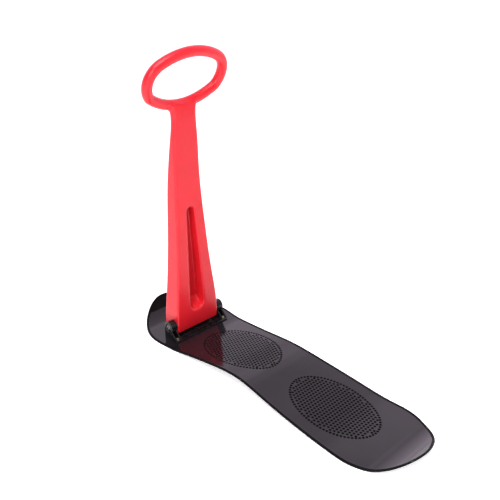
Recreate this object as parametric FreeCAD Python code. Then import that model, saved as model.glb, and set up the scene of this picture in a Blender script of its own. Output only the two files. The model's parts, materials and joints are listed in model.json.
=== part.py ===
"""Fold-up snow scooter: a cambered plastic board with an upright handle hinged near its nose.

Millimetres. +X points forward to the nose, +Y to the rider's left, +Z up. The origin is on the
ground, below the middle of the board.
"""
import FreeCAD, Part
import math
import os

from FreeCAD import Vector as V

# Board
BOARD_LENGTH = 914.0
BOARD_THICKNESS = 5.0
TAIL_X = -BOARD_LENGTH / 2
NOSE_X = BOARD_LENGTH / 2
# larger than the board's half-width and height, for the solids that cut it out
BOARD_REACH = 150.0
# half-width of the board along its length, before the two ends are rounded
WAIST = [(-460, 127), (-380, 126), (-280, 120), (-180, 117), (-80, 112), (20, 106),
         (120, 107.5), (220, 115), (320, 124), (420, 125), (500, 124)]
TAIL_ROUNDING = 152.0
TAIL_POWER = 1.9
NOSE_ROUNDING = 140.0
NOSE_POWER = 1.95
EDGE_STEP = 70
# height of the underside: flat where it touches the snow, raised between
REAR_FLAT = (-378.0, -290.0)
FRONT_FLAT = (270.0, 370.0)
CAMBER = [(-180, 7.5), (-80, 18.0), (20, 27.0), (120, 18.0), (220, 4.5)]
TAIL_RISE = 32.0
TAIL_RISE_POWER = 1.7
NOSE_RISE = 43.0
NOSE_RISE_POWER = 2.3

# Pivot of the folding handle
PIVOT_X = 308.0
PIVOT_Z = 39.0
BOLT_R = 4.0
BOLT_HOLE_R = 4.2
SLEEVE_R = 6.5
SLEEVE_BORE_R = 4.1

# Hinge base
BASE_X = (270.0, 328.0)
BASE_TONGUE_X = 369.0
BASE_TONGUE_HALF = 40.0
BASE_CORNER_R = 6.0
BASE_THICKNESS = 3.0
BASE_TOP = BOARD_THICKNESS + BASE_THICKNESS
EAR_INNER_Y = 73.8
EAR_OUTER_Y = 91.8
SLEEVE_END_Y = EAR_INNER_Y - 0.05
EAR_WALL = 3.4
EAR_R = 16.5
EAR_FRONT_X = PIVOT_X + EAR_R
EAR_FOOT_X = 275.0
# where the ear's sloping rear edge meets its round top
EAR_SHOULDER = (PIVOT_X - 11.5, PIVOT_Z - 9.0)
EAR_FRONT_WALL = 9.0
EAR_RECESS_R = 10.0
EAR_RECESS_DEPTH = 5.0
LEDGE_X = (324.8, 350.0)
LEDGE_HALF = 68.0
LEDGE_TOP = 17.2
LEDGE_WALL = 4.0
RIB_BAR_X = (279.0, 284.0)
RIB_X = (273.0, 288.0)
RIB_TOP = 15.0
RIB_BAR_TOP = 12.0
RIB_COUNT = 6
RIB_PITCH = 22.0
RIB_WIDTH = 3.0

# Board fasteners, M5
SCREW_R = 2.5
SCREW_HOLE_R = 2.7
SCREW_HEAD_R = 4.6
SCREW_HEAD_DEPTH = 2.6
SCREW_HEAD_Z = 0.2
SINK_R = 5.1
SINK_DEPTH = 3.0
SCREW_WASHER_R = 5.0
SCREW_WASHER_T = 1.0
SCREW_NUT_FLATS = 8.0
SCREW_NUT_T = 2.7
SCREW_END = 0.8
# the threads are plain, with this radial gap between screw and nut
THREAD_GAP = 0.05
EAR_MIDDLE_Y = (EAR_INNER_Y + EAR_OUTER_Y) / 2
SCREW_PLACES = [(282.0, -EAR_MIDDLE_Y), (282.0, EAR_MIDDLE_Y), (360.0, -31.0), (360.0, 31.0)]

# Pivot fasteners, M8
RECESS_FLOOR_Y = EAR_OUTER_Y - EAR_RECESS_DEPTH
PIVOT_WASHER_R = 8.0
PIVOT_WASHER_T = 1.6
HEAD_SEAT_Y = RECESS_FLOOR_Y + PIVOT_WASHER_T
BOLT_HEAD_R = 7.2
BOLT_HEAD_T = 4.6
BOLT_HEAD_ROUNDING = 3.2
BOLT_SOCKET_FLATS = 5.0
BOLT_SOCKET_DEPTH = 2.4
BOLT_END = 1.5
PIVOT_NUT_FLATS = 13.0
PIVOT_NUT_T = 8.0
PIVOT_NUT_COLLAR_R = 6.1
PIVOT_NUT_COLLAR_T = 2.0

# Handle: hollow, blow moulded
WALL = 3.0
# height, rear face, front face, half-width, corner radius of each cross-section
HANDLE_SECTIONS = [
    (17.5, 292.0, 347.5, 70.8, 6.0),
    (85.0, 290.2, 346.7, 69.4, 6.5),
    (165.0, 293.9, 346.0, 61.0, 7.0),
    (245.0, 297.4, 347.0, 53.0, 7.0),
    (325.0, 301.5, 347.6, 47.6, 7.5),
    (405.0, 305.3, 348.0, 43.2, 8.5),
    (485.0, 306.3, 340.9, 40.6, 9.5),
    (555.0, 304.5, 331.3, 38.2, 10.5),
    (605.0, 303.8, 328.5, 35.9, 11.5),
    (640.0, 307.0, 331.5, 44.0, 12.0),
]
# centre height and end radius of the slot's round ends
SLOT_BOTTOM = (92.0, 24.0)
SLOT_TOP = (356.0, 12.0)
SLOT_FLOOR_X = 327.0
SLOT_MOUTH_X = 280.0
# the pocket's lower end rises by this much for each millimetre of depth
SLOT_SLOPE = 0.55
SLOT_LIP_DROP = 4.8
RING_HALF_WIDTH = 113.7
RING_TOP = 69.1
RING_BOTTOM = -72.2
RING_UPPER_R = 54.0
RING_CORNER_R = 24.0
# directions in which the lower corner arc starts and ends, in degrees below the level
RING_CORNER_ARC = (34.0, 54.0)
RING_TUBE_R = 13.0
RING_CENTRE = V(299.5, 0, 702.9)
RING_TILT = 21.0

# Handle bearings
RUNNING_GAP = 0.06
BUSH_R = 9.0
BUSH_GAP = 0.05
BUSH_LENGTH = 14.0
BUSH_FLANGE_R = 14.0
BUSH_FLANGE_T = 1.2
BOSS_R = 16.0
BOSS_ROOT_Y = 60.0
BOSS_FACE_Y = 71.0
FRICTION_WASHER_R = 13.0
FRICTION_WASHER_Y = (72.5, 73.5)
WASHER_GAP = 0.1


def prism(points, axis, start, length):
    """Extrude a closed polygon of (u, v) points along Y from (x, z), or along Z from (x, y)."""
    if axis == "y":
        corners = [V(u, start, v) for u, v in points]
        step = V(0, length, 0)
    else:
        corners = [V(u, v, start) for u, v in points]
        step = V(0, 0, length)
    wire = Part.makePolygon(corners + corners[:1])
    return Part.Face(wire).extrude(step)


def block(x, y, z):
    """Box between the given pairs of limits."""
    return Part.makeBox(x[1] - x[0], y[1] - y[0], z[1] - z[0], V(x[0], y[0], z[0]))


def cross_cylinder(radius, y_from, y_to, x=PIVOT_X, z=PIVOT_Z):
    """Cylinder along Y between two y values."""
    low = min(y_from, y_to)
    return Part.makeCylinder(radius, abs(y_to - y_from), V(x, low, z), V(0, 1, 0))


def hexagon(flats, thickness):
    """Hexagonal prism standing on z = 0 with two flats facing +Y and -Y."""
    corner = flats / math.sqrt(3)
    points = [(corner * math.cos(math.radians(60 * i)), corner * math.sin(math.radians(60 * i)))
              for i in range(6)]
    return prism(points, "z", 0, thickness)


# ---------------------------------------------------------------- board

def waist_curve():
    """Smooth curve of the half-width along the board."""
    curve = Part.BSplineCurve()
    curve.interpolate(Points=[V(x, w, 0) for x, w in WAIST])
    return curve


def outline_points():
    """Points of the left edge, from the tail tip to the nose tip."""
    curve = waist_curve()

    def width(x):
        column = Part.LineSegment(V(x, 0, 0), V(x, BOARD_REACH, 0))
        return curve.intersectCC(column)[0].Y

    def rounded_end(tip, length, exponent):
        """Points of a superellipse quarter from the tip to where the long edge takes over."""
        corner = []
        power = 2 / exponent
        for angle in range(0, 90, 10):
            turn = math.radians(angle)
            along = length * (1 - math.cos(turn) ** power)
            x = tip + math.copysign(along, -tip)
            corner.append((x, width(x) * math.sin(turn) ** power))
        return corner

    middle = [(x, width(x)) for x in range(-4 * EDGE_STEP, 5 * EDGE_STEP, EDGE_STEP)]
    tail = rounded_end(TAIL_X, TAIL_ROUNDING, TAIL_POWER)
    nose = rounded_end(NOSE_X, NOSE_ROUNDING, NOSE_POWER)
    return tail + middle + nose[::-1]


def board_outline():
    """Closed wire of the board in plan, one smooth closed curve."""
    left = outline_points()
    right = [(x, -y) for x, y in reversed(left[1:-1])]
    curve = Part.BSplineCurve()
    curve.interpolate(Points=[V(x, y, 0) for x, y in left + right], PeriodicFlag=True)
    return Part.Wire(curve.toShape())


def end_curve(x_from, x_to, tip, rise, power):
    """Points of an upturned end, which starts level at x_from and has risen by rise at its tip."""
    steps = 6
    points = []
    for i in range(steps + 1):
        x = x_from + (x_to - x_from) * i / steps
        points.append((x, rise * ((x - x_from) / (tip - x_from)) ** power))
    return points


def spline(points, level_ends=False):
    """Smooth edge in the XZ plane."""
    curve = Part.BSplineCurve()
    corners = [V(x, 0, z) for x, z in points]
    if level_ends:
        curve.interpolate(Points=corners, InitialTangent=V(1, 0, 0), FinalTangent=V(1, 0, 0))
    else:
        curve.interpolate(Points=corners)
    return curve.toShape()


def side_edges(lift):
    """Edges of the board's long profile, raised by lift, from the tail to the nose."""
    overrun = 10.0
    tail = end_curve(REAR_FLAT[0], TAIL_X - overrun, TAIL_X, TAIL_RISE, TAIL_RISE_POWER)
    nose = end_curve(FRONT_FLAT[1], NOSE_X + overrun, NOSE_X, NOSE_RISE, NOSE_RISE_POWER)
    camber = [(REAR_FLAT[1], 0)] + CAMBER + [(FRONT_FLAT[0], 0)]
    edges = [spline(tail[::-1])]
    edges.append(Part.LineSegment(V(REAR_FLAT[0], 0, 0), V(REAR_FLAT[1], 0, 0)).toShape())
    edges.append(spline(camber, True))
    edges.append(Part.LineSegment(V(FRONT_FLAT[0], 0, 0), V(FRONT_FLAT[1], 0, 0)).toShape())
    edges.append(spline(nose))
    for edge in edges:
        edge.translate(V(0, 0, lift))
    return edges


def make_deck():
    lower = side_edges(0)
    upper = side_edges(BOARD_THICKNESS)
    tail = Part.LineSegment(lower[0].Vertexes[0].Point, upper[0].Vertexes[0].Point).toShape()
    nose = Part.LineSegment(lower[-1].Vertexes[-1].Point, upper[-1].Vertexes[-1].Point).toShape()
    profile = Part.Face(Part.Wire(Part.__sortEdges__(lower + upper + [tail, nose])))
    profile.translate(V(0, -BOARD_REACH, 0))
    plan = Part.Face(board_outline()).extrude(V(0, 0, BOARD_REACH))
    deck = plan.common(profile.extrude(V(0, 2 * BOARD_REACH, 0)))
    for x, y in SCREW_PLACES:
        deck = deck.cut(Part.makeCylinder(SCREW_HOLE_R, 2 * BOARD_THICKNESS, V(x, y, 0)))
        deck = deck.cut(Part.makeCone(SINK_R, SCREW_HOLE_R, SINK_DEPTH, V(x, y, 0)))
    return deck.Solids[0]


# ---------------------------------------------------------------- hinge base

def ear_plate(y_from, y_to):
    """Flat plate of the ear's side shape between two y values."""
    outline = [(EAR_FOOT_X, BOARD_THICKNESS), (EAR_FRONT_X, BOARD_THICKNESS), (EAR_FRONT_X, PIVOT_Z),
               (PIVOT_X, PIVOT_Z), EAR_SHOULDER, (EAR_FOOT_X, BASE_TOP)]
    plate = prism(outline, "y", y_from, y_to - y_from)
    return plate.fuse(cross_cylinder(EAR_R, y_from, y_to))


def make_ear(side):
    """Hollow ear: two walls joined by the pivot boss, a front wall and the base plate."""
    inner = ear_plate(EAR_INNER_Y, EAR_INNER_Y + EAR_WALL)
    outer = ear_plate(EAR_OUTER_Y - EAR_WALL, EAR_OUTER_Y)
    boss = cross_cylinder(EAR_R, EAR_INNER_Y, EAR_OUTER_Y)
    front = block((EAR_FRONT_X - EAR_FRONT_WALL, EAR_FRONT_X), (EAR_INNER_Y, EAR_OUTER_Y),
                  (BOARD_THICKNESS, PIVOT_Z))
    ear = inner.fuse([outer, boss, front])
    bore = cross_cylinder(BOLT_HOLE_R, EAR_INNER_Y, EAR_OUTER_Y)
    recess = cross_cylinder(EAR_RECESS_R, RECESS_FLOOR_Y, EAR_OUTER_Y)
    ear = ear.cut(bore).cut(recess)
    if side < 0:
        ear = ear.mirror(V(0, 0, 0), V(0, 1, 0))
    return ear


def make_hinge_base():
    plate = block(BASE_X, (-EAR_OUTER_Y, EAR_OUTER_Y), (BOARD_THICKNESS, BASE_TOP))
    upright = [e for e in plate.Edges if abs(e.BoundBox.ZLength - BASE_THICKNESS) < 0.01]
    plate = plate.makeFillet(BASE_CORNER_R, upright)
    tongue = block((BASE_X[1] - BASE_CORNER_R, BASE_TONGUE_X), (-BASE_TONGUE_HALF, BASE_TONGUE_HALF),
                   (BOARD_THICKNESS, BASE_TOP))
    ledge = block(LEDGE_X, (-LEDGE_HALF, LEDGE_HALF), (BOARD_THICKNESS, LEDGE_TOP))
    hollow = block((LEDGE_X[0] + LEDGE_WALL, LEDGE_X[1] - LEDGE_WALL), (-LEDGE_HALF, LEDGE_HALF),
                   (BASE_TOP, LEDGE_TOP - LEDGE_WALL))
    ledge = ledge.cut(hollow)
    base = plate.fuse([tongue, ledge, make_ear(1), make_ear(-1)])
    bar = block(RIB_BAR_X, (-EAR_INNER_Y, EAR_INNER_Y), (BOARD_THICKNESS, RIB_BAR_TOP))
    ribs = []
    for index in range(RIB_COUNT):
        y = (index - (RIB_COUNT - 1) / 2) * RIB_PITCH
        ribs.append(block(RIB_X, (y - RIB_WIDTH / 2, y + RIB_WIDTH / 2), (BOARD_THICKNESS, RIB_TOP)))
    base = base.fuse([bar] + ribs).removeSplitter()
    for x, y in SCREW_PLACES:
        base = base.cut(Part.makeCylinder(SCREW_HOLE_R, BASE_THICKNESS, V(x, y, BOARD_THICKNESS)))
    return base


# ---------------------------------------------------------------- fasteners

def make_base_screws():
    """Countersunk screws, heads flush with the board's underside."""
    screws = []
    top = BASE_TOP + SCREW_WASHER_T + SCREW_NUT_T + SCREW_END
    for x, y in SCREW_PLACES:
        head = Part.makeCone(SCREW_HEAD_R, SCREW_R, SCREW_HEAD_DEPTH, V(x, y, SCREW_HEAD_Z))
        shank = Part.makeCylinder(SCREW_R, top - SCREW_HEAD_Z, V(x, y, SCREW_HEAD_Z))
        screws.append(head.fuse(shank).removeSplitter())
    return Part.makeCompound(screws)


def make_base_washers():
    washers = []
    for x, y in SCREW_PLACES:
        disc = Part.makeCylinder(SCREW_WASHER_R, SCREW_WASHER_T, V(x, y, BASE_TOP))
        hole = Part.makeCylinder(SCREW_HOLE_R, SCREW_WASHER_T, V(x, y, BASE_TOP))
        washers.append(disc.cut(hole))
    return Part.makeCompound(washers)


def make_base_nuts():
    nuts = []
    for x, y in SCREW_PLACES:
        nut = hexagon(SCREW_NUT_FLATS, SCREW_NUT_T)
        nut.translate(V(x, y, BASE_TOP + SCREW_WASHER_T))
        hole = Part.makeCylinder(SCREW_R + THREAD_GAP, SCREW_NUT_T + SCREW_WASHER_T, V(x, y, BASE_TOP))
        nuts.append(nut.cut(hole))
    return Part.makeCompound(nuts)


def make_pivot_bolt():
    """Domed-head bolt whose head is on the left side."""
    nut_end = HEAD_SEAT_Y + PIVOT_NUT_T + BOLT_END
    head_top = HEAD_SEAT_Y + BOLT_HEAD_T
    shank = cross_cylinder(BOLT_R, -nut_end, HEAD_SEAT_Y)
    head = cross_cylinder(BOLT_HEAD_R, HEAD_SEAT_Y, head_top)
    rim = [e for e in head.Edges if abs(e.CenterOfMass.y - head_top) < 0.01]
    head = head.makeFillet(BOLT_HEAD_ROUNDING, rim)
    socket = hexagon(BOLT_SOCKET_FLATS, BOLT_SOCKET_DEPTH)
    socket.rotate(V(0, 0, 0), V(1, 0, 0), 90)
    socket.translate(V(PIVOT_X, head_top, PIVOT_Z))
    return shank.fuse(head).removeSplitter().cut(socket)


def make_pivot_nut():
    """Lock nut on the right side, with its round collar outwards."""
    body = hexagon(PIVOT_NUT_FLATS, PIVOT_NUT_T - PIVOT_NUT_COLLAR_T)
    nut = body.fuse(Part.makeCylinder(PIVOT_NUT_COLLAR_R, PIVOT_NUT_T)).removeSplitter()
    nut = nut.cut(Part.makeCylinder(BOLT_R + THREAD_GAP, PIVOT_NUT_T))
    nut.rotate(V(0, 0, 0), V(1, 0, 0), 90)
    nut.translate(V(PIVOT_X, -HEAD_SEAT_Y, PIVOT_Z))
    return nut


def make_pivot_washers():
    washers = []
    for side in (-1, 1):
        disc = cross_cylinder(PIVOT_WASHER_R, side * RECESS_FLOOR_Y, side * HEAD_SEAT_Y)
        hole = cross_cylinder(BOLT_HOLE_R, side * RECESS_FLOOR_Y, side * HEAD_SEAT_Y)
        washers.append(disc.cut(hole))
    return Part.makeCompound(washers)


def make_pivot_sleeve():
    """Steel spacer tube between the ears, which the handle turns on."""
    return cross_cylinder(SLEEVE_R, -SLEEVE_END_Y, SLEEVE_END_Y).cut(
        cross_cylinder(SLEEVE_BORE_R, -SLEEVE_END_Y, SLEEVE_END_Y))


def make_friction_washer(side):
    near, far = FRICTION_WASHER_Y
    disc = cross_cylinder(FRICTION_WASHER_R, side * near, side * far)
    return disc.cut(cross_cylinder(SLEEVE_R + WASHER_GAP, side * near, side * far))


# ---------------------------------------------------------------- handle

def rounded_section(z, rear, front, half, radius, inset):
    """Closed rounded rectangle at height z, shrunk by inset."""
    rear += inset
    front -= inset
    half -= inset
    r = radius - inset
    centres = [(front - r, half - r, 0), (rear + r, half - r, 90), (rear + r, -half + r, 180),
               (front - r, -half + r, 270)]
    edges = []
    last = None
    first = None
    for cx, cy, start in centres:
        p = []
        for angle in (start, start + 45, start + 90):
            a = math.radians(angle)
            p.append(V(cx + r * math.cos(a), cy + r * math.sin(a), z))
        if last:
            edges.append(Part.LineSegment(last, p[0]).toShape())
        else:
            first = p[0]
        edges.append(Part.Arc(*p).toShape())
        last = p[2]
    edges.append(Part.LineSegment(last, first).toShape())
    return Part.Wire(edges)


def blade(inset):
    """Tapering blade and neck, shrunk by inset on every side."""
    wires = []
    for z, rear, front, half, radius in HANDLE_SECTIONS:
        wires.append(rounded_section(z, rear, front, half, radius, inset))
    solid = Part.makeLoft(wires, True, False)
    if inset:
        floor = HANDLE_SECTIONS[0][0] + inset
        solid = solid.cut(block((0, 2 * PIVOT_X), (-BOARD_REACH, BOARD_REACH), (0, floor)))
    return solid


def on_circle(centre_y, centre_z, radius, degrees):
    """Point of a circle in the YZ plane, in a direction below the +Y axis."""
    turn = math.radians(degrees)
    return (centre_y + radius * math.cos(turn), centre_z - radius * math.sin(turn))


def ring_half():
    """Tangent arcs of the ring's left half from top to bottom, as (start, middle, end) points."""
    reach = RING_HALF_WIDTH - RING_UPPER_R
    top_r = (reach ** 2 + RING_TOP ** 2 - RING_UPPER_R ** 2) / (2 * (RING_TOP - RING_UPPER_R))
    turn = math.degrees(math.atan2(top_r - RING_TOP, reach))
    upper = [on_circle(reach, 0, RING_UPPER_R, -turn * part) for part in (1, 0.5, 0)]

    start, end = RING_CORNER_ARC
    cos_start, sin_start = math.cos(math.radians(start)), math.sin(math.radians(start))
    cos_end, sin_end = math.cos(math.radians(end)), math.sin(math.radians(end))
    # radii of the side arc and the bottom arc that meet the corner arc in those directions
    across = RING_HALF_WIDTH - RING_CORNER_R * (cos_start - cos_end)
    down = -RING_BOTTOM + RING_CORNER_R * (sin_start - sin_end)
    share = (1 - sin_end) / cos_end
    side_r = (across * share - down) / ((1 - cos_start) * share - sin_start)
    bottom_r = (across - side_r * (1 - cos_start)) / cos_end
    side_y = RING_HALF_WIDTH - side_r
    corner_y, corner_z = on_circle(side_y, 0, side_r - RING_CORNER_R, start)
    bottom_z = RING_BOTTOM + bottom_r
    side = [on_circle(side_y, 0, side_r, start * part) for part in (0, 0.5, 1)]
    turns = (start, (start + end) / 2, end)
    corner = [on_circle(corner_y, corner_z, RING_CORNER_R, angle) for angle in turns]
    return upper, side, corner, (0, RING_BOTTOM), on_circle(0, bottom_z, bottom_r, end)


def ring_path():
    """Closed oval in the YZ plane: eight tangent arcs, with tight corners at the bottom."""
    upper, side, corner, bottom, bottom_end = ring_half()

    def arc(points):
        return Part.Arc(*[V(0, y, z) for y, z in points]).toShape()

    def mirrored(points):
        return [(-y, z) for y, z in reversed(points)]

    left = [upper, side, corner]
    below = [bottom_end, bottom] + mirrored([bottom_end])
    above = mirrored(upper[:1]) + [(0, RING_TOP)] + upper[:1]
    path = [above] + left + [below] + [mirrored(points) for points in reversed(left)]
    return [arc(points) for points in path]


def ring(tube_radius):
    """Oval grip ring: a round tube along its path, tilted back at the top."""
    edges = ring_path()
    direction = edges[0].tangentAt(edges[0].FirstParameter)
    profile = Part.Wire(Part.makeCircle(tube_radius, edges[0].Vertexes[0].Point, direction))
    tube = Part.Wire(edges).makePipeShell([profile], True, True)
    tube.rotate(V(0, 0, 0), V(0, 1, 0), -RING_TILT)
    tube.translate(RING_CENTRE)
    return tube


def slot_outline(x, grow):
    """Closed tapering slot with round ends in the plane at x, widened by grow all round."""
    z_low, r_low = SLOT_BOTTOM[0], SLOT_BOTTOM[1] + grow
    z_high, r_high = SLOT_TOP[0], SLOT_TOP[1] + grow
    lean = math.asin((r_low - r_high) / (z_high - z_low))
    low = [V(x, s * r_low * math.cos(lean), z_low + r_low * math.sin(lean)) for s in (1, -1)]
    high = [V(x, s * r_high * math.cos(lean), z_high + r_high * math.sin(lean)) for s in (1, -1)]
    edges = [
        Part.LineSegment(low[0], high[0]).toShape(),
        Part.Arc(high[0], V(x, 0, z_high + r_high), high[1]).toShape(),
        Part.LineSegment(high[1], low[1]).toShape(),
        Part.Arc(low[1], V(x, 0, z_low - r_low), low[0]).toShape(),
    ]
    return Part.Wire(edges)


def slot_pocket(grow):
    """Blind pocket of the slot with a sloping lower end; grow leaves room for the pocket's own wall."""
    depth = SLOT_FLOOR_X + grow - SLOT_MOUTH_X
    pocket = Part.Face(slot_outline(SLOT_MOUTH_X, grow)).extrude(V(depth, 0, 0))
    low_z = SLOT_BOTTOM[0] - SLOT_BOTTOM[1] - grow
    run = depth + WALL
    wedge = [(SLOT_MOUTH_X, 0), (SLOT_MOUTH_X, low_z - SLOT_LIP_DROP),
             (SLOT_MOUTH_X + run, low_z - SLOT_LIP_DROP + SLOT_SLOPE * run), (SLOT_MOUTH_X + run, 0)]
    return pocket.cut(prism(wedge, "y", -BOARD_REACH, 2 * BOARD_REACH))


def make_handle_shell():
    outside = blade(0).fuse(ring(RING_TUBE_R))
    for side in (-1, 1):
        outside = outside.fuse(cross_cylinder(BOSS_R, side * BOSS_ROOT_Y, side * BOSS_FACE_Y))
    cavity = blade(WALL).fuse(ring(RING_TUBE_R - WALL))
    cavity = cavity.cut(slot_pocket(WALL))
    shell = outside.cut(slot_pocket(0)).cut(cavity)
    return shell.cut(cross_cylinder(BUSH_R + BUSH_GAP, -BOSS_FACE_Y, BOSS_FACE_Y))


def make_handle_bush(side):
    """Flanged bush pressed into the handle's side."""
    flange = cross_cylinder(BUSH_FLANGE_R, side * BOSS_FACE_Y, side * (BOSS_FACE_Y + BUSH_FLANGE_T))
    body = cross_cylinder(BUSH_R, side * (BOSS_FACE_Y - BUSH_LENGTH), side * BOSS_FACE_Y)
    bore = cross_cylinder(SLEEVE_R + RUNNING_GAP, side * (BOSS_FACE_Y - BUSH_LENGTH),
                          side * (BOSS_FACE_Y + BUSH_FLANGE_T))
    return flange.fuse(body).removeSplitter().cut(bore)


def write(name, shape):
    shape.exportStep(os.path.join("parts", name + ".step"))


os.makedirs("parts", exist_ok=True)
write("deck", make_deck())
write("hinge_base", make_hinge_base())
write("base_screws", make_base_screws())
write("base_washers", make_base_washers())
write("base_nuts", make_base_nuts())
write("pivot_bolt", make_pivot_bolt())
write("pivot_nut", make_pivot_nut())
write("pivot_washers", make_pivot_washers())
write("pivot_sleeve", make_pivot_sleeve())
write("friction_washer_left", make_friction_washer(1))
write("friction_washer_right", make_friction_washer(-1))
write("handle_shell", make_handle_shell())
write("handle_bush_left", make_handle_bush(1))
write("handle_bush_right", make_handle_bush(-1))
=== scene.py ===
"""Looks of the fold-up snow scooter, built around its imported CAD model.

Metres, in the CAD model's frame: +X to the nose, +Y to the rider's left, +Z up.
"""
import json
import math

import bmesh
import bpy
import numpy as np
from mathutils import Matrix, Quaternion, Vector
from mathutils.bvhtree import BVHTree


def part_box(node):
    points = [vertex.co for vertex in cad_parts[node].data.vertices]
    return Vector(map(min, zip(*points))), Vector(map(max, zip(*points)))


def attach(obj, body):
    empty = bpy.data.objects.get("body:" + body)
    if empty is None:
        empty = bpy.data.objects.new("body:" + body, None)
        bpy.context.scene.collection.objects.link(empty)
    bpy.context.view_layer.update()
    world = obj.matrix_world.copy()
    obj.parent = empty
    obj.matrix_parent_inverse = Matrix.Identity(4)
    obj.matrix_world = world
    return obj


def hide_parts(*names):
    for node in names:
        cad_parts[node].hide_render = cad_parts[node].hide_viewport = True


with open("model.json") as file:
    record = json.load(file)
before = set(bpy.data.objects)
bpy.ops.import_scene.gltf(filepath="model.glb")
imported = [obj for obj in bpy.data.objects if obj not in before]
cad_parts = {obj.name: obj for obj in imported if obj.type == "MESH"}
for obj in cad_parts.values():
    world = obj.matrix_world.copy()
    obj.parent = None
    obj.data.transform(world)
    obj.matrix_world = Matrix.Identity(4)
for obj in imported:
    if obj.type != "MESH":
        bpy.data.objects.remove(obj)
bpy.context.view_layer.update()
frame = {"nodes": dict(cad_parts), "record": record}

# Camera, at the photograph's viewing angle
CAMERA_PLACE = (-1.0339, 1.0672, 1.0791)
CAMERA_HEADING = -43.74
CAMERA_DOWN = 26.13
CAMERA_ROLL = -0.31
CAMERA_LENS = 51.18

# Studio light: strength of the surroundings behind the camera, on the backdrop and overhead
WORLD_BEHIND = 0.22
WORLD_BACKDROP = 1.75
WORLD_TINT = (1.0, 0.87, 1.02)
# cosines of the angle to the camera's heading between which it changes from one to the other
BACKDROP_TURN = (-0.35, 0.45)
# share of that strength by sine of the elevation
WORLD_PROFILE = ((0.0, 1.0), (0.30, 0.85), (0.50, 0.66), (0.62, 0.97), (0.70, 0.62), (1.0, 0.50))

# Board, with a bead round its edge
RIM_R = 0.0033
RIM_LIFT = 0.0018
# inset and height of the points where the bead runs out into the upper face
RIM_FOOT = ((0.0090, 0.0), (0.0072, 0.0), (0.0063, 0.00015))
RIM_ANGLES = (40, 55, 70, 90, 110, 130, 150, 170, 190, 210, 230, 250, 270)
# faces whose normal rises less than this are the dull edge, which carries painted shade
EDGE_STEEPNESS = 0.82
# height above the upper face from which the bead of the rim is dull too, with the same painted shade
BEAD_START = 0.0006
DECK_SAMPLES = 471
SAMPLE_INSET = 0.001
TIP_GAP = 2e-5
DECK_STATIONS = 260
DECK_COLUMNS = 36

# Grip dots: two oval fields of dimples
FIELD_CENTRES = (-0.202, 0.1135)
FIELD_HALF_LENGTH = 0.1215
FIELD_HALF_WIDTH = 0.0790
DOT_PITCH = 0.0088
DOT_R = 0.0033
DOT_DEPTH = 0.0016
DOT_SIDES = 12
BORDER_DOTS = 76
# gap between the row along the oval and the rows inside it, in dot pitches
FIELD_MARGIN = 0.62
OVAL_POINTS = 2000

# Countersunk holes for the hinge screws
SCREW_HOLE_R = 0.0027
SINK_R = 0.0051
SINK_DEPTH = 0.0030

# Handle: a face is on the outside if enough of the probes sent out from it get away
PROBES = 90
WAYS_OUT = 3
HANDLE_VOXEL = 0.0016
# neck, as a share of the handle's height, where inside corners are rounded
BLEND_BAND = (0.755, 0.90)
BLEND_FADE = 0.012
BLEND_STEPS = 420
NORMAL_STEPS = 20
RELAX_ROUNDS = 12
SLOT_STEPS = 14
SLOT_MARGIN_Y = 0.016
SLOT_MARGIN_Z = 0.045
SLOT_MARGIN_X = 0.006
SLOT_FADE = 0.006


# ------------------------------------------------------------------ mesh helpers

def new_object(name, verts, faces):
    """Object from lists of points and faces, in the scene."""
    mesh = bpy.data.meshes.new(name)
    mesh.from_pydata([tuple(v) for v in verts], [], faces)
    mesh.validate()
    obj = bpy.data.objects.new(name, mesh)
    bpy.context.scene.collection.objects.link(obj)
    return obj


def object_from_bmesh(name, bm):
    """Object from a bmesh, which is freed, in the scene."""
    mesh = bpy.data.meshes.new(name)
    bm.to_mesh(mesh)
    bm.free()
    obj = bpy.data.objects.new(name, mesh)
    bpy.context.scene.collection.objects.link(obj)
    return obj


def bake(obj):
    """Replace the object's mesh by the result of its modifiers."""
    depsgraph = bpy.context.evaluated_depsgraph_get()
    mesh = bpy.data.meshes.new_from_object(obj.evaluated_get(depsgraph))
    obj.modifiers.clear()
    obj.data = mesh
    return obj


def smooth_shade(obj, angle):
    """Smooth shading with edges sharper than the angle, in degrees, kept."""
    obj.data.shade_smooth()
    obj.data.set_sharp_from_angle(angle=math.radians(angle))
    return obj


def set_material(obj, material):
    obj.data.materials.clear()
    obj.data.materials.append(material)


def cad_copy(node):
    """Welded copy of a CAD node's mesh."""
    bm = bmesh.new()
    bm.from_mesh(frame["nodes"][node].data)
    bmesh.ops.remove_doubles(bm, verts=bm.verts, dist=2e-6)
    return bm


# ------------------------------------------------------------------ materials

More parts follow.
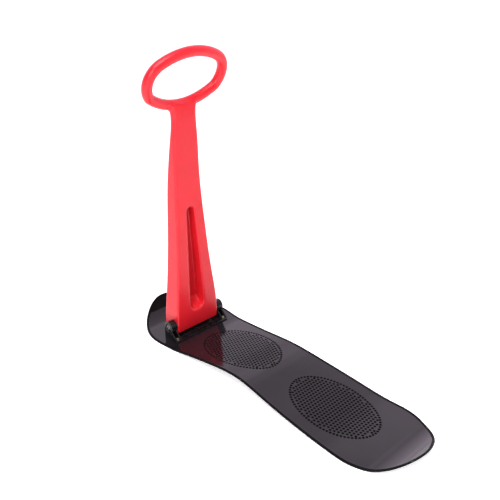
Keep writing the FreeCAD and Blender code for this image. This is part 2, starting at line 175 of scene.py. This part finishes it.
class Nodes:
    """Small wrapper that adds nodes to one material and links them."""

    def __init__(self, name):
        self.material = bpy.data.materials.new(name)
        self.material.use_nodes = True
        self.tree = self.material.node_tree
        self.shader = self.tree.nodes["Principled BSDF"]
        self.place = self.add("ShaderNodeTexCoord").outputs["Object"]

    def add(self, kind, **values):
        node = self.tree.nodes.new(kind)
        for key, value in values.items():
            setattr(node, key, value)
        return node

    def link(self, output, target):
        self.tree.links.new(output, target)

    def noise(self, scale, detail=4.0, stretch=(1, 1, 1)):
        mapping = self.add("ShaderNodeMapping")
        mapping.inputs["Scale"].default_value = stretch
        self.link(self.place, mapping.inputs["Vector"])
        texture = self.add("ShaderNodeTexNoise")
        texture.inputs["Scale"].default_value = scale
        texture.inputs["Detail"].default_value = detail
        self.link(mapping.outputs["Vector"], texture.inputs["Vector"])
        return texture.outputs["Fac"]

    def spread(self, value, low, high, start=0.3, end=0.7):
        """Map the middle of a noise to the range low to high."""
        node = self.add("ShaderNodeMapRange")
        for name, number in (("From Min", start), ("From Max", end), ("To Min", low), ("To Max", high)):
            node.inputs[name].default_value = number
        self.link(value, node.inputs["Value"])
        return node.outputs["Result"]

    def add_values(self, a, b):
        node = self.add("ShaderNodeMath", operation="ADD")
        self.link(a, node.inputs[0])
        self.link(b, node.inputs[1])
        return node.outputs[0]

    def tint(self, value, dark, light):
        node = self.add("ShaderNodeMix", data_type="RGBA")
        node.inputs["A"].default_value = (*dark, 1)
        node.inputs["B"].default_value = (*light, 1)
        self.link(value, node.inputs["Factor"])
        return node.outputs["Result"]

    def bump(self, height, strength, distance, normal=None):
        node = self.add("ShaderNodeBump")
        node.inputs["Strength"].default_value = strength
        node.inputs["Distance"].default_value = distance
        self.link(height, node.inputs["Height"])
        if normal:
            self.link(normal, node.inputs["Normal"])
        return node.outputs["Normal"]

    def finish(self, color, roughness, normal, ior=1.5, metallic=0.0):
        self.link(color, self.shader.inputs["Base Color"])
        self.link(roughness, self.shader.inputs["Roughness"])
        self.link(normal, self.shader.inputs["Normal"])
        self.shader.inputs["IOR"].default_value = ior
        self.shader.inputs["Metallic"].default_value = metallic
        return self.material


def board_material():
    """Glossy black moulded plastic: faint waves, fine lengthwise rub marks, dusty roughness patches."""
    n = Nodes("board_gloss")
    patches = n.noise(7.0, 3.0)
    rubs = n.noise(60.0, 6.0, (0.6, 14, 14))
    color = n.tint(n.spread(patches, 0, 1), (0.0080, 0.0066, 0.0084), (0.0130, 0.0106, 0.0134))
    roughness = n.add_values(n.spread(patches, 0.085, 0.125), n.spread(rubs, 0.0, 0.055, 0.5, 0.75))
    waves = n.bump(n.noise(9.0, 1.0), 0.25, 0.0020)
    grain = n.bump(n.noise(1800.0, 2.0), 0.05, 0.00008, waves)
    return n.finish(color, roughness, n.bump(rubs, 0.05, 0.0001, grain), 1.40)


def dimple_shade_material():
    """Matte black inside the grip dots, where the mould is spark eroded; the darker colour and weak
    reflection are painted shade in the hollows.
    """
    n = Nodes("board_dimple_shade")
    cloud = n.noise(300.0, 4.0)
    # colour darker than the board, and reflection turned almost off below: painted shade in the dimples
    color = n.tint(n.spread(cloud, 0, 1), (0.0010, 0.0009, 0.0011), (0.0040, 0.0036, 0.0042))
    roughness = n.spread(cloud, 0.60, 0.85)
    n.shader.inputs["Specular IOR Level"].default_value = 0.06
    return n.finish(color, roughness, n.bump(n.noise(2200.0, 2.0), 0.3, 0.0001), 1.47)


def edge_shade_material():
    """Dull black on the board's trimmed edge and rim bead: matte, and darker and less reflective than the
    board, which is painted shade that keeps the sides black.
    """
    n = Nodes("board_edge_shade")
    cloud = n.noise(45.0, 5.0, (0.4, 1, 1))
    # colour darker than the board, and reflection turned almost off below: painted shade on the edge's
    # sides and bead
    color = n.tint(n.spread(cloud, 0, 1), (0.0010, 0.0009, 0.0011), (0.0040, 0.0036, 0.0042))
    roughness = n.spread(cloud, 0.45, 0.65)
    n.shader.inputs["Specular IOR Level"].default_value = 0.07
    return n.finish(color, roughness, n.bump(n.noise(900.0, 3.0), 0.2, 0.0001), 1.47)


def handle_material():
    """Satin red blow-moulded plastic: soft ripple, orange peel and handling scuffs."""
    n = Nodes("handle_red")
    cloud = n.noise(14.0, 3.0)
    scuff = n.noise(95.0, 7.0, (1, 1, 0.25))
    color = n.tint(n.spread(cloud, 0, 1), (0.56, 0.0078, 0.0150), (0.62, 0.0110, 0.0200))
    roughness = n.add_values(n.spread(cloud, 0.30, 0.36), n.spread(scuff, 0.0, 0.10, 0.52, 0.78))
    ripple = n.bump(n.noise(22.0, 1.5), 0.20, 0.0012)
    peel = n.bump(n.noise(620.0, 2.0), 0.10, 0.00012, ripple)
    return n.finish(color, roughness, peel, 1.40)


def hinge_material():
    """Satin black moulded plastic with a fine spark-eroded grain."""
    n = Nodes("hinge_black")
    cloud = n.noise(40.0, 4.0)
    color = n.tint(n.spread(cloud, 0, 1), (0.0025, 0.0025, 0.0028), (0.007, 0.007, 0.0075))
    roughness = n.spread(n.noise(150.0, 4.0), 0.20, 0.36)
    n.shader.inputs["Specular IOR Level"].default_value = 0.30
    grain = n.bump(n.noise(1500.0, 2.0), 0.22, 0.0001)
    return n.finish(color, roughness, grain, 1.5)


def steel_material():
    """Zinc-plated steel with a faint yellow passivation."""
    n = Nodes("zinc_steel")
    cloud = n.noise(220.0, 4.0)
    color = n.tint(n.spread(cloud, 0, 1), (0.60, 0.52, 0.36), (0.76, 0.73, 0.66))
    roughness = n.spread(n.noise(500.0, 4.0), 0.22, 0.42)
    grain = n.bump(n.noise(2500.0, 2.0), 0.15, 0.00005)
    return n.finish(color, roughness, grain, 1.5, 1.0)


def bolt_material():
    """Blackened steel, worn bright in places."""
    n = Nodes("black_steel")
    cloud = n.noise(260.0, 5.0)
    color = n.tint(n.spread(cloud, 0, 1, 0.45, 0.75), (0.10, 0.095, 0.10), (0.42, 0.38, 0.38))
    roughness = n.spread(n.noise(500.0, 4.0), 0.28, 0.48)
    grain = n.bump(n.noise(2500.0, 2.0), 0.15, 0.00005)
    return n.finish(color, roughness, grain, 1.5, 1.0)


def nylon_material(name, dark, light):
    """Machined nylon: slightly waxy with fine turning marks."""
    n = Nodes(name)
    cloud = n.noise(120.0, 3.0)
    color = n.tint(n.spread(cloud, 0, 1), dark, light)
    roughness = n.spread(n.noise(400.0, 3.0), 0.34, 0.5)
    grain = n.bump(n.noise(900.0, 2.0, (1, 6, 1)), 0.2, 0.0001)
    return n.finish(color, roughness, grain, 1.53)


def floor_material():
    """White paper sweep with a faint glow of its own, so that it stays clean under the board."""
    n = Nodes("studio_floor")
    cloud = n.noise(3.0, 3.0)
    color = n.tint(n.spread(cloud, 0, 1), (0.90, 0.90, 0.90), (0.92, 0.92, 0.92))
    roughness = n.spread(cloud, 0.75, 0.85)
    n.link(color, n.shader.inputs["Emission Color"])
    n.shader.inputs["Emission Strength"].default_value = 0.62
    return n.finish(color, roughness, n.bump(n.noise(300.0), 0.02, 0.0002), 1.3)


BOARD = board_material()
RED = handle_material()
DIMPLE_SHADE = dimple_shade_material()
EDGE = edge_shade_material()
HINGE = hinge_material()
STEEL = steel_material()
BLACK_STEEL = bolt_material()
WHITE_NYLON = nylon_material("nylon_natural", (0.62, 0.60, 0.54), (0.74, 0.72, 0.66))
BLACK_NYLON = nylon_material("nylon_black", (0.015, 0.015, 0.015), (0.03, 0.03, 0.03))


# ------------------------------------------------------------------ board

class DeckShape:
    """Heights and half-widths of the CAD board along its length."""

    def __init__(self):
        bm = cad_copy("deck")
        tree = BVHTree.FromBMesh(bm)
        bm.free()
        low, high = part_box("deck")
        self.half_length = (high.x - low.x) / 2 - TIP_GAP
        self.middle = (high.x + low.x) / 2
        self.x = np.linspace(low.x + SAMPLE_INSET, high.x - SAMPLE_INSET, DECK_SAMPLES)
        self.top = np.array([self.hit(tree, (x, 0, 1), (0, 0, -1)).z for x in self.x])
        self.bottom = np.array([self.hit(tree, (x, 0, -1), (0, 0, 1)).z for x in self.x])
        self.thickness = float(np.median(self.top - self.bottom))
        turns = np.linspace(-math.pi / 2, math.pi / 2, DECK_STATIONS)
        self.station_x = self.middle + self.half_length * np.sin(turns)
        self.station_y = np.zeros(DECK_STATIONS)
        for i in range(1, DECK_STATIONS - 1):
            x = self.station_x[i]
            z = self.height(x) - self.thickness / 2
            self.station_y[i] = self.hit(tree, (x, 1, z), (0, -1, 0)).y

    @staticmethod
    def hit(tree, start, direction):
        return tree.ray_cast(Vector(start), Vector(direction))[0]

    def height(self, x):
        """Height of the board's upper face."""
        return np.interp(x, self.x, self.top)

    def loops(self):
        """Closed outline, anticlockwise seen from above, and its inward normals."""
        right = np.stack([self.station_x, -self.station_y], 1)
        left = np.stack([self.station_x, self.station_y], 1)[-2:0:-1]
        loop = np.concatenate([right, left])
        along = np.roll(loop, -1, 0) - np.roll(loop, 1, 0)
        along /= np.linalg.norm(along, axis=1)[:, None]
        inward = np.stack([-along[:, 1], along[:, 0]], 1)
        return loop, inward


def rim_profile():
    """Inset from the edge and height above the upper face, round the rolled rim from top to bottom."""
    centre = RIM_LIFT - RIM_R
    points = list(RIM_FOOT)
    for angle in RIM_ANGLES:
        turn = math.radians(angle)
        points.append((RIM_R + RIM_R * math.cos(turn), centre + RIM_R * math.sin(turn)))
    points.append((RIM_FOOT[1][0], centre - RIM_R))
    return points


def make_deck(shape):
    """Board with a rolled rim, as one closed surface."""
    loop, inward = shape.loops()
    count = len(loop)
    verts = []
    profile = rim_profile()
    for inset, lift in profile:
        ring = loop + inward * inset
        verts.extend(np.column_stack([ring, shape.height(ring[:, 0]) + lift]))
    faces = []
    for row in range(len(profile) - 1):
        for i in range(count):
            j = (i + 1) % count
            faces.append((row * count + i, (row + 1) * count + i, (row + 1) * count + j, row * count + j))

    def close(row, lift, upward):
        """Fill the inside of one ring with strips that run from side to side."""
        stations = DECK_STATIONS
        grid = []
        for i in range(stations):
            right = row * count + i
            left = row * count + (count - i) % count if 0 < i < stations - 1 else right
            line = [right]
            a = np.array(verts[right])
            b = np.array(verts[left])
            if left != right:
                for c in range(1, DECK_COLUMNS):
                    p = a + (b - a) * c / DECK_COLUMNS
                    verts.append((p[0], p[1], shape.height(p[0]) + lift))
                    line.append(len(verts) - 1)
                line.append(left)
            grid.append(line)
        for i in range(stations - 1):
            a, b = grid[i], grid[i + 1]
            for c in range(DECK_COLUMNS):
                quad = [a[min(c, len(a) - 1)], b[min(c, len(b) - 1)],
                        b[min(c + 1, len(b) - 1)], a[min(c + 1, len(a) - 1)]]
                face = list(dict.fromkeys(quad))
                if len(face) > 2:
                    faces.append(face if upward else face[::-1])

    close(0, 0.0, True)
    close(len(profile) - 1, profile[-1][1], False)
    deck = new_object("board_moulding", verts, faces)
    bm = bmesh.new()
    bm.from_mesh(deck.data)
    bmesh.ops.remove_doubles(bm, verts=bm.verts, dist=1e-6)
    bmesh.ops.recalc_face_normals(bm, faces=bm.faces)
    bm.to_mesh(deck.data)
    bm.free()
    return deck


def dot_centres(centre_x):
    """Staggered dots inside an oval, and a row of dots along the oval itself."""
    centres = []
    rows = int(FIELD_HALF_LENGTH / DOT_PITCH)
    margin = DOT_PITCH * FIELD_MARGIN
    for row in range(-rows, rows + 1):
        x = row * DOT_PITCH
        shift = 0.5 if row % 2 else 0.0
        reach = 1 - (x / (FIELD_HALF_LENGTH - margin)) ** 2
        if reach <= 0:
            continue
        limit = (FIELD_HALF_WIDTH - margin) * math.sqrt(reach)
        columns = int(FIELD_HALF_WIDTH / DOT_PITCH) + 1
        for column in range(-columns, columns + 1):
            y = (column + shift) * DOT_PITCH
            if abs(y) <= limit:
                centres.append((centre_x + x, y))
    angles = np.linspace(0, 2 * math.pi, OVAL_POINTS, endpoint=False)
    oval = np.stack([FIELD_HALF_LENGTH * np.cos(angles), FIELD_HALF_WIDTH * np.sin(angles)], 1)
    walked = np.concatenate([[0], np.cumsum(np.linalg.norm(np.diff(oval, axis=0), axis=1))])
    for step in range(BORDER_DOTS):
        at = np.searchsorted(walked, walked[-1] * step / BORDER_DOTS)
        centres.append((centre_x + oval[at, 0], oval[at, 1]))
    return centres


def lathe(bm, profile, centre, segments):
    """Closed turned solid about a vertical axis; the profile goes from the top centre to the bottom."""
    rings = []
    for r, z in profile:
        ring = []
        for k in range(segments):
            turn = 2 * math.pi * k / segments
            ring.append(bm.verts.new((centre[0] + r * math.cos(turn), centre[1] + r * math.sin(turn),
                                      centre[2] + z)))
        rings.append(ring)
    for upper, lower in zip(rings, rings[1:]):
        for k in range(segments):
            j = (k + 1) % segments
            bm.faces.new((upper[k], lower[k], lower[j], upper[j]))
    bm.faces.new(rings[0])
    bm.faces.new(rings[-1][::-1])


def cut(obj, cutter):
    """Take a cutter's solids out of an object."""
    modifier = obj.modifiers.new("cut", "BOOLEAN")
    modifier.operation = "DIFFERENCE"
    modifier.solver = "MANIFOLD"
    modifier.object = cutter
    bake(obj)
    bpy.data.objects.remove(cutter)


def dimple_cutter(shape):
    """Shallow bowls at every dot of both fields."""
    bm = bmesh.new()
    profile = [(DOT_R + 0.0003, 0.002), (DOT_R + 0.0001, 0.0002), (DOT_R * 0.86, -DOT_DEPTH * 0.55),
               (DOT_R * 0.5, -DOT_DEPTH * 0.9), (DOT_R * 0.12, -DOT_DEPTH)]
    for centre_x in FIELD_CENTRES:
        for x, y in dot_centres(centre_x):
            lathe(bm, profile, (x, y, shape.height(x)), DOT_SIDES)
    return object_from_bmesh("dimple_cutter", bm)


def mark_surfaces(deck, shape):
    """Give the insides of the dimples the second material, and the board's edge the third; both carry
    painted shade.
    """
    for face in deck.data.polygons:
        place = face.center
        depth = shape.height(place.x) - place.z
        inside = any(((place.x - x) / (FIELD_HALF_LENGTH + DOT_PITCH)) ** 2
                     + (place.y / (FIELD_HALF_WIDTH + DOT_PITCH)) ** 2 < 1 for x in FIELD_CENTRES)
        if inside:
            if DOT_DEPTH * 0.15 < depth < DOT_DEPTH * 1.5:
                # the dimple hollows take the painted-shade material
                face.material_index = 1
        elif abs(face.normal.z) < EDGE_STEEPNESS or depth < -BEAD_START:
            # steep faces and the rim bead take the painted-shade edge material
            face.material_index = 2


def solid_centres(node):
    """Middle of the box of each separate solid in a CAD node."""
    bm = cad_copy(node)
    left = set(bm.verts)
    centres = []
    while left:
        group = {left.pop()}
        front = list(group)
        while front:
            vert = front.pop()
            for edge in vert.link_edges:
                other = edge.other_vert(vert)
                if other in left:
                    left.remove(other)
                    group.add(other)
                    front.append(other)
        xs = [v.co.x for v in group]
        ys = [v.co.y for v in group]
        centres.append(((min(xs) + max(xs)) / 2, (min(ys) + max(ys)) / 2))
    bm.free()
    return sorted(centres)


def screw_cutter():
    """Countersunk holes from below, one round each CAD screw."""
    bm = bmesh.new()
    profile = [(SCREW_HOLE_R, 0.012), (SCREW_HOLE_R, SINK_DEPTH), (SINK_R, 0.0), (SINK_R, -0.002)]
    for x, y in solid_centres("base_screws"):
        lathe(bm, profile, (x, y, 0.0), 32)
    return object_from_bmesh("screw_cutter", bm)


shape = DeckShape()
deck = make_deck(shape)
cut(deck, dimple_cutter(shape))
cut(deck, screw_cutter())
smooth_shade(deck, 32)
set_material(deck, BOARD)
deck.data.materials.append(DIMPLE_SHADE)
deck.data.materials.append(EDGE)
mark_surfaces(deck, shape)
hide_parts("deck")
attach(deck, "board")


# ------------------------------------------------------------------ handle

def sphere_directions(count):
    """Evenly spread unit directions."""
    golden = math.pi * (3 - math.sqrt(5))
    directions = []
    for i in range(count):
        z = 1 - 2 * (i + 0.5) / count
        r = math.sqrt(1 - z * z)
        directions.append(Vector((r * math.cos(golden * i), r * math.sin(golden * i), z)))
    return directions


def outer_skin(node):
    """Outside of a hollow CAD node: faces that see no way out belong to its cavity and go."""
    bm = cad_copy(node)
    bmesh.ops.triangulate(bm, faces=bm.faces)
    tree = BVHTree.FromBMesh(bm)
    probes = sphere_directions(PROBES)
    cavity = []
    for face in bm.faces:
        start = face.calc_center_median() + face.normal * 1e-4
        ways = 0
        for probe in probes:
            if probe.dot(face.normal) > 0.05 and tree.ray_cast(start, probe)[0] is None:
                ways += 1
                if ways == WAYS_OUT:
                    break
        if ways < WAYS_OUT:
            cavity.append(face)
    bmesh.ops.delete(bm, geom=cavity, context="FACES")
    loose = [v for v in bm.verts if not v.link_faces]
    bmesh.ops.delete(bm, geom=loose, context="VERTS")
    rims = [e for e in bm.edges if e.is_boundary]
    bmesh.ops.holes_fill(bm, edges=rims, sides=0)
    return object_from_bmesh("handle_moulding", bm)


def vertex_array(mesh):
    """Places of the mesh's vertices."""
    co = np.zeros(len(mesh.vertices) * 3)
    mesh.vertices.foreach_get("co", co)
    return co.reshape(-1, 3)


def normals_of(mesh):
    """Normals of the mesh's vertices."""
    values = np.zeros(len(mesh.vertices) * 3, np.float32)
    mesh.vertex_normals.foreach_get("vector", values)
    return values.reshape(-1, 3)


def store(mesh, co):
    """Move the mesh's vertices to the given places."""
    mesh.vertices.foreach_set("co", co.astype(np.float32).ravel())
    mesh.update()


class Links:
    """Edges out of the chosen vertices of a mesh, for averages over their neighbours."""

    def __init__(self, mesh, chosen=None):
        edges = np.zeros(len(mesh.edges) * 2, np.int64)
        mesh.edges.foreach_get("vertices", edges)
        edges = edges.reshape(-1, 2)
        self.start = np.concatenate([edges[:, 0], edges[:, 1]])
        self.end = np.concatenate([edges[:, 1], edges[:, 0]])
        if chosen is not None:
            keep = chosen[self.start]
            self.start = self.start[keep]
            self.end = self.end[keep]
        self.count = len(mesh.vertices)
        self.degree = np.maximum(np.bincount(self.start, minlength=self.count), 1)[:, None]

    def mean(self, co):
        sums = [np.bincount(self.start, co[self.end, k], self.count) for k in range(3)]
        return np.stack(sums, 1) / self.degree


def fill_creases(obj, low, high, steps):
    """Round inside corners between two heights, and leave outside curves as they are."""
    mesh = obj.data
    co = vertex_array(mesh)
    chosen = (co[:, 2] > low) & (co[:, 2] < high)
    links = Links(mesh, chosen)
    fade = np.clip(np.minimum(co[:, 2] - low, high - co[:, 2]) / BLEND_FADE, 0, 1)[:, None]
    for step in range(steps):
        if step % NORMAL_STEPS == 0:
            normal = normals_of(mesh)
        move = (links.mean(co) - co) * chosen[:, None]
        outward = np.sum(move * normal, 1) > 0
        co += move * 0.5 * fade * outward[:, None]
        if step % NORMAL_STEPS == NORMAL_STEPS - 1:
            store(mesh, co)
    store(mesh, co)


def round_slot(obj, steps):
    """Round the lips and inner corners of the slot by plain smoothing, faded out around it."""
    openings = frame["record"]["physics"]["openings"]
    slot = [opening["box_m"] for opening in openings if opening["name"].startswith("slot")]
    low_z = min(box[0][2] for box in slot) - SLOT_MARGIN_Z
    high_z = max(box[1][2] for box in slot) + SLOT_MARGIN_Z
    half = max(box[1][1] for box in slot) + SLOT_MARGIN_Y
    front = slot[0][1][0] + SLOT_MARGIN_X
    mesh = obj.data
    co = vertex_array(mesh)
    x = co[:, 0]
    y = np.abs(co[:, 1])
    z = co[:, 2]
    chosen = (z > low_z) & (z < high_z) & (y < half) & (x < front)
    links = Links(mesh, chosen)
    reach = np.minimum(half - y, np.minimum(z - low_z, high_z - z))
    fade = np.clip(reach / SLOT_FADE, 0, 1)
    share = (0.5 * fade * chosen)[:, None]
    for step in range(steps):
        co += (links.mean(co) - co) * share
    store(mesh, co)


def relax(obj, rounds):
    """Smooth away the voxel steps; each inward step is followed by one outward, so nothing shrinks."""
    mesh = obj.data
    co = vertex_array(mesh)
    links = Links(mesh)
    for factor in (0.5, -0.53) * rounds:
        co += (links.mean(co) - co) * factor
    store(mesh, co)


def make_handle():
    """Handle with rounded neck and slot, remeshed from the CAD shell's outside."""
    handle = outer_skin("handle_shell")
    remesh = handle.modifiers.new("remesh", "REMESH")
    remesh.mode = "VOXEL"
    remesh.voxel_size = HANDLE_VOXEL
    bake(handle)
    low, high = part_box("handle_shell")
    height = high.z - low.z
    fill_creases(handle, low.z + BLEND_BAND[0] * height, low.z + BLEND_BAND[1] * height, BLEND_STEPS)
    round_slot(handle, SLOT_STEPS)
    relax(handle, RELAX_ROUNDS)
    handle.data.shade_smooth()
    set_material(handle, RED)
    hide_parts("handle_shell")
    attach(handle, "handle")


make_handle()


# ------------------------------------------------------------------ hinge and hardware

def softened(node, name, width, material, body):
    """Copy of a CAD node with its edges rounded, which replaces it."""
    bm = cad_copy(node)
    bmesh.ops.dissolve_limit(bm, angle_limit=math.radians(1.0), verts=bm.verts, edges=bm.edges)
    obj = object_from_bmesh(name, bm)
    bevel = obj.modifiers.new("bevel", "BEVEL")
    bevel.width = width
    bevel.segments = 3
    bevel.limit_method = "ANGLE"
    bevel.angle_limit = math.radians(40)
    bevel.use_clamp_overlap = True
    bake(obj)
    smooth_shade(obj, 40)
    set_material(obj, material)
    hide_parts(node)
    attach(obj, body)


softened("hinge_base", "hinge_bracket", 0.0007, HINGE, "board")
for hardware in ("base_screws", "base_washers", "base_nuts", "pivot_washers", "pivot_sleeve"):
    set_material(frame["nodes"][hardware], STEEL)
for hardware in ("pivot_bolt", "pivot_nut"):
    set_material(frame["nodes"][hardware], BLACK_STEEL)
for washer in ("friction_washer_left", "friction_washer_right"):
    set_material(frame["nodes"][washer], WHITE_NYLON)
for bush in ("handle_bush_left", "handle_bush_right"):
    set_material(frame["nodes"][bush], BLACK_NYLON)


# ------------------------------------------------------------------ studio

def make_floor():
    """Plain pale floor at the height of the ground."""
    reach = 60.0
    floor = new_object("studio_floor", [(-reach, -reach, 0), (reach, -reach, 0), (reach, reach, 0),
                                        (-reach, reach, 0)], [(0, 1, 2, 3)])
    set_material(floor, floor_material())


def area_light(name, place, target, size, power):
    """Round soft light aimed at a point."""
    data = bpy.data.lights.new(name, "AREA")
    data.shape = "DISK"
    data.size = size
    data.energy = power
    light = bpy.data.objects.new(name, data)
    bpy.context.scene.collection.objects.link(light)
    light.location = place
    light.rotation_euler = (Vector(target) - Vector(place)).to_track_quat("-Z", "Y").to_euler()


def map_range(tree, value, start, end, low, high):
    """Ease a value from one range into another."""
    node = tree.nodes.new("ShaderNodeMapRange")
    node.interpolation_type = "SMOOTHSTEP"
    for name, number in (("From Min", start), ("From Max", end), ("To Min", low), ("To Max", high)):
        node.inputs[name].default_value = number
    tree.links.new(value, node.inputs["Value"])
    return node.outputs["Result"]


def make_world():
    """White studio, brighter on the backdrop's side than behind the camera, with a soft band overhead."""
    world = bpy.data.worlds.new("studio")
    bpy.context.scene.world = world
    world.use_nodes = True
    tree = world.node_tree
    background = tree.nodes["Background"]
    direction = tree.nodes.new("ShaderNodeTexCoord").outputs["Generated"]
    facing = tree.nodes.new("ShaderNodeVectorMath")
    facing.operation = "DOT_PRODUCT"
    heading = math.radians(CAMERA_HEADING)
    facing.inputs[1].default_value = (math.cos(heading), math.sin(heading), 0.0)
    tree.links.new(direction, facing.inputs[0])
    backdrop = map_range(tree, facing.outputs["Value"], *BACKDROP_TURN, WORLD_BEHIND, WORLD_BACKDROP)
    height = tree.nodes.new("ShaderNodeSeparateXYZ")
    tree.links.new(direction, height.inputs[0])
    profile = tree.nodes.new("ShaderNodeValToRGB")
    stops = profile.color_ramp.elements
    for index, (place, share) in enumerate(WORLD_PROFILE):
        stop = stops[index] if index < 2 else stops.new(place)
        stop.position = place
        stop.color = (share, share, share, 1)
    tree.links.new(height.outputs["Z"], profile.inputs["Fac"])
    strength = tree.nodes.new("ShaderNodeMath")
    strength.operation = "MULTIPLY"
    tree.links.new(backdrop, strength.inputs[0])
    tree.links.new(profile.outputs["Color"], strength.inputs[1])
    tree.links.new(strength.outputs[0], background.inputs["Strength"])
    background.inputs["Color"].default_value = (*WORLD_TINT, 1)


def make_camera():
    """Camera of the main view, looking along its heading and down."""
    heading = math.radians(CAMERA_HEADING)
    down = math.radians(CAMERA_DOWN)
    view = Vector((math.cos(down) * math.cos(heading), math.cos(down) * math.sin(heading), -math.sin(down)))
    data = bpy.data.cameras.new("camera")
    data.lens = CAMERA_LENS
    data.sensor_width = 36.0
    camera = bpy.data.objects.new("camera", data)
    bpy.context.scene.collection.objects.link(camera)
    turn = view.to_track_quat("-Z", "Y") @ Quaternion((0, 0, 1), math.radians(CAMERA_ROLL))
    camera.matrix_world = Matrix.Translation(CAMERA_PLACE) @ turn.to_matrix().to_4x4()
    bpy.context.scene.camera = camera


make_floor()
make_world()
area_light("key", (-1.3, 2.7, 1.6), (0.3, 0, 0.2), 1.6, 60)
area_light("top", (-0.5, 0.9, 3.0), (0.1, 0, 0.2), 2.2, 92)
area_light("fill", (-2.6, -1.0, 1.8), (0.1, 0, 0.3), 1.8, 10)
make_camera()
bpy.context.scene.view_settings.view_transform = "Standard"
